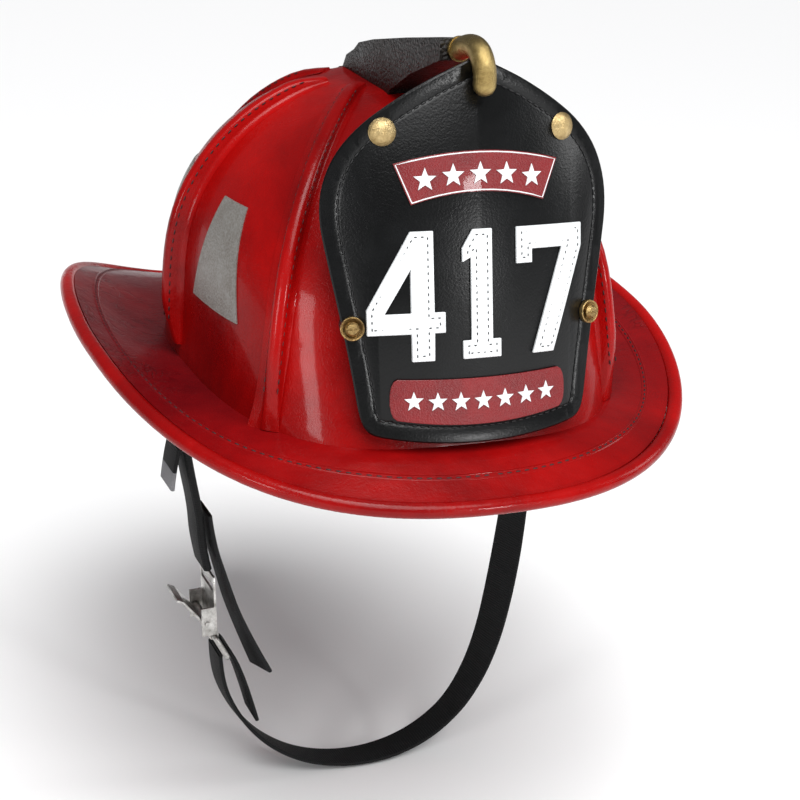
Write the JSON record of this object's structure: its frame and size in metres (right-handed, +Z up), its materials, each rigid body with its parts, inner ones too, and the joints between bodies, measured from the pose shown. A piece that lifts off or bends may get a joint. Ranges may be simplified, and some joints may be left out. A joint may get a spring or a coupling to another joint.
{
  "type": "firefighter helmet",
  "caption": "Traditional leather firefighter helmet with raised combs, wide brim, curved frontpiece on a brass hook, padded liner, ratchet headband and buckled chin strap.",
  "frame": {"origin": "midway between the two side rivets, at the height where the crown meets the brim", "axes": "+Z up; the front faces -Y and the long rear brim points to +Y; the wearer's right is -X"},
  "size_m": [0.294, 0.387, 0.4214],
  "materials": {
    "red_leather": "gloss painted",
    "reflective_tape": "satin",
    "black_leather": "satin grained",
    "red_panel": "satin",
    "white_leather": "satin",
    "brass": "aged",
    "brown_leather": "satin",
    "black_plastic": "matte",
    "foam": "matte",
    "padding": "matte",
    "webbing": "woven",
    "strap_tip": "woven",
    "nickel": "worn"
  },
  "bodies": {
    "helmet": {"crown_shell": "red_leather", "brim": "red_leather", "brim_edge_roll": "red_leather", "comb_front": "red_leather", "comb_front_right": "red_leather", "comb_side_right": "red_leather", "comb_rear_right": "red_leather", "comb_rear": "red_leather", "comb_rear_left": "red_leather", "comb_side_left": "red_leather", "comb_front_left": "red_leather", "reflective_patch_front_side_right": "reflective_tape", "reflective_patch_front_side_left": "reflective_tape", "reflective_patch_rear_side_right": "reflective_tape", "reflective_patch_rear_side_left": "reflective_tape", "reflective_patch_rear_right": "reflective_tape", "reflective_patch_rear_left": "reflective_tape", "shield_leather": "black_leather", "upper_scroll": "red_panel", "lower_scroll": "red_panel", "numeral_four": "white_leather", "numeral_one": "white_leather", "numeral_seven": "white_leather", "shield_rivets": "brass", "shield_screws": "brass", "shield_cup_washers": "brass", "holder_hook": "brass", "holder_screws": "brass", "front_holder": "brown_leather", "shield_spacers": "brown_leather", "impact_cap": "black_plastic", "ratchet_housing": "black_plastic", "headband": "black_plastic", "strap_hangers": "black_plastic", "foam_liner": "foam", "brow_pad": "padding", "nape_pad": "padding", "crown_strap_1": "webbing", "crown_strap_2": "webbing", "crown_strap_3": "webbing", "side_tab_right": "nickel", "side_tab_left": "nickel", "tab_rivets": "nickel", "hanger_tab": "nickel"},
    "chin_strap": {"side_ring_right": "nickel", "side_ring_left": "nickel", "chin_strap_lower": "webbing", "chin_strap_foldback": "webbing", "chin_strap_upper": "webbing", "chin_strap_tail": "webbing", "strap_tip": "strap_tip", "buckle_body": "nickel", "buckle_pin": "nickel", "buckle_loop": "nickel"},
    "buckle_lever": {"buckle_lever": "nickel"},
    "ratchet_knob": {"ratchet_knob": "black_plastic", "ratchet_pinion": "black_plastic"},
    "tail_right": {"headband_tail_right": "black_plastic"},
    "tail_left": {"headband_tail_left": "black_plastic"},
    "hanger_ring": {"hanger_ring": "nickel"}
  },
  "joints": [
    {"name": "chin_strap_swing", "type": "hinge", "parent": "helmet", "child": "chin_strap", "pos_m": [0, 0, -0.012], "axis": [1, 0, 0], "range_deg": [-50, 50]},
    {"name": "buckle_lever_turn", "type": "hinge", "parent": "chin_strap", "child": "buckle_lever", "pos_m": [-0.081, 0, -0.142], "axis": [0, 1, 0], "range_deg": [-35, 28]},
    {"name": "ratchet_knob_turn", "type": "hinge", "parent": "helmet", "child": "ratchet_knob", "pos_m": [0, 0.088, -0.019], "axis": [0, 1, 0], "range_deg": [-85, 85]},
    {"name": "tail_right_slide", "type": "slide", "parent": "helmet", "child": "tail_right", "axis": [1, 0, 0], "range_m": [-0.006, 0.006]},
    {"name": "tail_left_slide", "type": "slide", "parent": "helmet", "child": "tail_left", "axis": [1, 0, 0], "range_m": [-0.006, 0.006]},
    {"name": "hanger_ring_swing", "type": "hinge", "parent": "helmet", "child": "hanger_ring", "pos_m": [0, 0.13198, -0.01154], "axis": [1, 0, 0], "range_deg": [-60, 45]}
  ],
  "couplings": [
    {"joint": "tail_right_slide", "follows": "ratchet_knob_turn", "m_per_rad": -0.004},
    {"joint": "tail_left_slide", "follows": "ratchet_knob_turn", "m_per_rad": 0.004}
  ]
}
